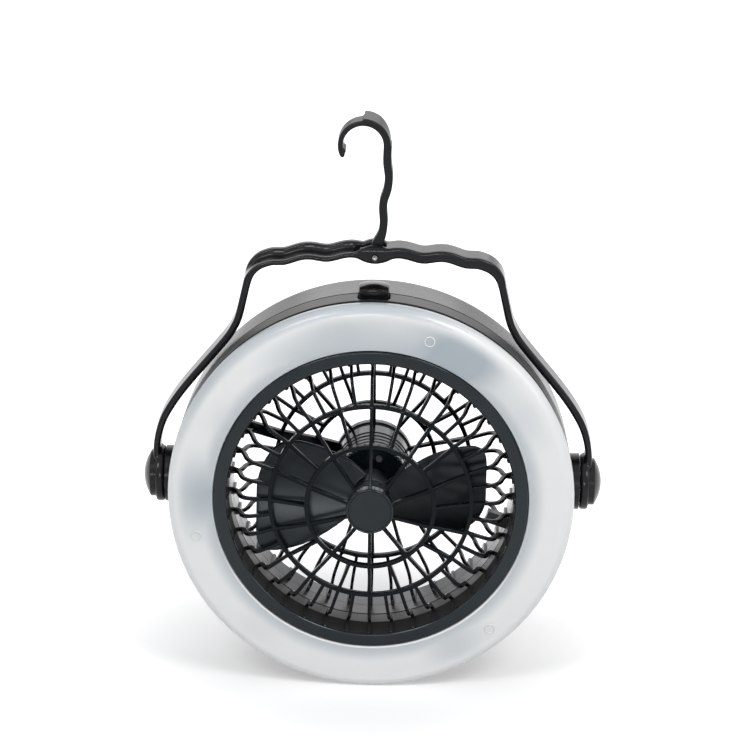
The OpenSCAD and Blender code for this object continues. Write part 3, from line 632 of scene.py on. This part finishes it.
def buildLens(look):
    ring = turnedPiece("ringLens", lensOutline(look), look["spinSteps"], look["crispFrom"])
    dress(ring, materials["frostedLens"])
    face = rimFront + look["front"] / mm
    marks, posts = [], []
    for right, up in look["marks"]:
        place = (right / mm, face, axisZ + up / mm)
        marks += addMark(place, look)
        posts.append(addPost(place, look))
    joinInto(ring, marks + posts)
    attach(ring, "head")
    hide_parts("light_lens")


buildLens(lensShape)
print("camping fan: lens turned")

for pieceName, look in softEdges.items():
    softenedCopy(pieceName, look)


# The hook's pin is peened over: its bright edge stands around a sunk middle
pinLook = {
    "standsFor": "hook_pin", "body": "bail", "slot": "steel_bright", "finish": "pinSteel",
    "round": 0.00015, "clamp": True, "endFrom": 0.99, "edge": 0.0003, "sink": 0.0005,
}


def buildPin(look):
    pin = softenedCopy("peenedPin", look)
    for face in pin.data.polygons:
        face.select = abs(face.normal.y) > look["endFrom"]
    makeActive(pin)
    bpy.ops.object.mode_set(mode="EDIT")
    bpy.ops.mesh.select_mode(type="FACE")
    bpy.ops.mesh.inset(thickness=look["edge"], depth=0.0)
    bpy.ops.mesh.inset(thickness=look["edge"], depth=-look["sink"])
    closeMesh()


buildPin(pinLook)
print("camping fan:", len(softEdges), "mouldings with rounded edges, and the pin")


# What camera, gloss and glass see of the room is its own pale colour, and no lamp is brighter
def seenDirectly(tree, path):
    seen = addMath(tree, -400, 300, "MAXIMUM", path["Is Camera Ray"], path["Is Glossy Ray"])
    return addMath(tree, -200, 300, "MAXIMUM", seen, path["Is Transmission Ray"])


# Floor and backdrop in one: pale, with the lamp's own soft shadow
floorLook = {
    "size": 8.0, "centre": (0.0, 1.0, 0.0), "albedo": 0.7, "wander": 0.01, "grain": 3.0,
    "glow": (0.37, 1.0), "glowReach": (0.045, 0.21),  # the shadow shows only near the lamp's foot
    "front": (-0.03, -0.5), "frontMirrored": 0.38,    # gloss sees a dimmer floor in front
}


def buildFloor(look):
    clearSelection()
    bpy.ops.mesh.primitive_plane_add(size=look["size"], location=look["centre"])
    floor = bpy.context.object
    floor.name = "paleFloor"
    keepPlaceInMesh()
    material = bpy.data.materials.new("paleFloor")
    material.use_nodes = True
    tree = material.node_tree
    tree.nodes.clear()
    path = addNode(tree, "ShaderNodeLightPath", -600, 300).outputs
    seen = seenDirectly(tree, path)
    grain = addNode(tree, "ShaderNodeTexNoise", -800, -100, {"Scale": look["grain"]})
    tone = addNode(tree, "ShaderNodeValToRGB", -600, -100, {"Fac": grain.outputs["Fac"]})
    setRamp(tone, [(0.0, (look["albedo"] * (1 - look["wander"]),) * 3),
                   (1.0, (look["albedo"] * (1 + look["wander"]),) * 3)])
    matte = addNode(tree, "ShaderNodeBsdfDiffuse", -200, -100, {"Color": tone.outputs["Color"]})
    coords = addNode(tree, "ShaderNodeTexCoord", -1000, 500).outputs["Object"]
    reach = addNode(tree, "ShaderNodeVectorMath", -800, 500, {0: coords}, operation="LENGTH")
    rise = addRange(tree, -500, 500, reach.outputs["Value"], look["glowReach"], look["glow"])
    split = addNode(tree, "ShaderNodeSeparateXYZ", -800, 700, {0: coords})
    front = addRange(tree, -600, 700, split.outputs["Y"], look["front"],
                     (1.0, look["frontMirrored"]), "LINEAR")
    mirrored = addNode(tree, "ShaderNodeMix", -400, 700, {
        "Factor": path["Is Glossy Ray"], "A": 1.0, "B": front})
    strength = addMath(tree, -300, 500, "MULTIPLY", rise, mirrored.outputs["Result"])
    glow = addNode(tree, "ShaderNodeEmission", -200, 100, {"Strength": strength})
    dark = addNode(tree, "ShaderNodeEmission", -200, -250, {"Strength": 0.0})
    visible = addNode(tree, "ShaderNodeMixShader", 0, 100, {
        0: seen, 1: dark.outputs[0], 2: glow.outputs[0]})
    total = addNode(tree, "ShaderNodeAddShader", 200, 0, {
        0: visible.outputs[0], 1: matte.outputs[0]})
    addNode(tree, "ShaderNodeOutputMaterial", 400, 0, {"Surface": total.outputs[0]})
    dress(floor, material)


worldLook = {"fill": 0.4, "fillColour": (0.95, 0.97, 1.0, 1.0), "seenColour": (1.0, 1.0, 1.0, 1.0)}


def buildWorld(look):
    world = bpy.data.worlds.new("paleRoom")
    bpy.context.scene.world = world
    world.use_nodes = True
    tree = world.node_tree
    tree.nodes.clear()
    seen = seenDirectly(tree, addNode(tree, "ShaderNodeLightPath", -600, 300).outputs)
    fill = addNode(tree, "ShaderNodeBackground", -200, 0, {
        "Color": look["fillColour"], "Strength": look["fill"]})
    white = addNode(tree, "ShaderNodeBackground", -200, -200, {
        "Color": look["seenColour"], "Strength": 1.0})
    mix = addNode(tree, "ShaderNodeMixShader", 0, 0, {
        0: seen, 1: fill.outputs[0], 2: white.outputs[0]})
    addNode(tree, "ShaderNodeOutputWorld", 200, 0, {"Surface": mix.outputs[0]})


lamps = {
    "highLeftSoftbox": {
        "place": (-0.5, -0.75, 1.05), "aim": (0.0, 0.0, 0.1), "size": 0.42, "watts": 4.2},
    "highRightSoftbox": {
        "place": (0.55, -0.7, 1.05), "aim": (0.0, 0.0, 0.1), "size": 0.42, "watts": 5.4},
    "leftSoftbox": {
        "place": (-1.1, -0.7, 0.7), "aim": (0.0, 0.0, 0.09), "size": 0.45, "watts": 1.0},
    "rightSoftbox": {
        "place": (1.1, -0.5, 0.6), "aim": (0.0, 0.0, 0.09), "size": 0.45, "watts": 1.8},
    "frontSoftbox": {
        "place": (-0.1, -2.6, 0.55), "aim": (0.0, 0.0, 0.09), "size": 0.35, "watts": 6.5},
    "backSoftbox": {
        "place": (0.0, 1.6, 0.78), "aim": (0.0, 0.0, 0.12), "size": 1.1, "watts": 2.1},
}


def buildLamps():
    for lampName, look in lamps.items():
        light = bpy.data.lights.new(lampName, "AREA")
        light.shape = "DISK"
        light.size = look["size"]
        light.energy = look["watts"]
        lamp = bpy.data.objects.new(lampName, light)
        bpy.context.scene.collection.objects.link(lamp)
        place = Vector(look["place"])
        facing = (Vector(look["aim"]) - place).to_track_quat("-Z", "Y")
        lamp.matrix_world = Matrix.Translation(place) @ facing.to_matrix().to_4x4()


cameraLook = {
    "fromRim": (0.0277, -1.2102, 0.4739),         # from the middle of the front rim
    "forward": (-0.02069, 0.94539, -0.32529),
    "roll": 0.74,                                 # degrees
    "lens": 145.4, "sensor": 36.0,                # mm
    "nearClip": 0.01,
}


def buildCamera(look):
    camera = bpy.data.objects.new("camera", bpy.data.cameras.new("camera"))
    bpy.context.scene.collection.objects.link(camera)
    camera.data.sensor_width = look["sensor"]
    camera.data.lens = look["lens"]
    camera.data.clip_start = look["nearClip"]
    forward = Vector(look["forward"]).normalized()
    level = forward.cross(Vector((0.0, 0.0, 1.0))).normalized()
    upright = level.cross(forward)
    roll = math.radians(look["roll"])
    right = level * math.cos(roll) + upright * math.sin(roll)
    up = upright * math.cos(roll) - level * math.sin(roll)
    turn = Matrix((right, up, -forward)).transposed().to_4x4()
    place = Vector(look["fromRim"]) + Vector((0.0, rimFront, axisZ))
    camera.matrix_world = Matrix.Translation(place) @ turn
    bpy.context.scene.camera = camera


buildFloor(floorLook)
buildWorld(worldLook)
buildLamps()
buildCamera(cameraLook)
bpy.context.scene.view_settings.view_transform = "Standard"
print("camping fan: floor, light and camera set")
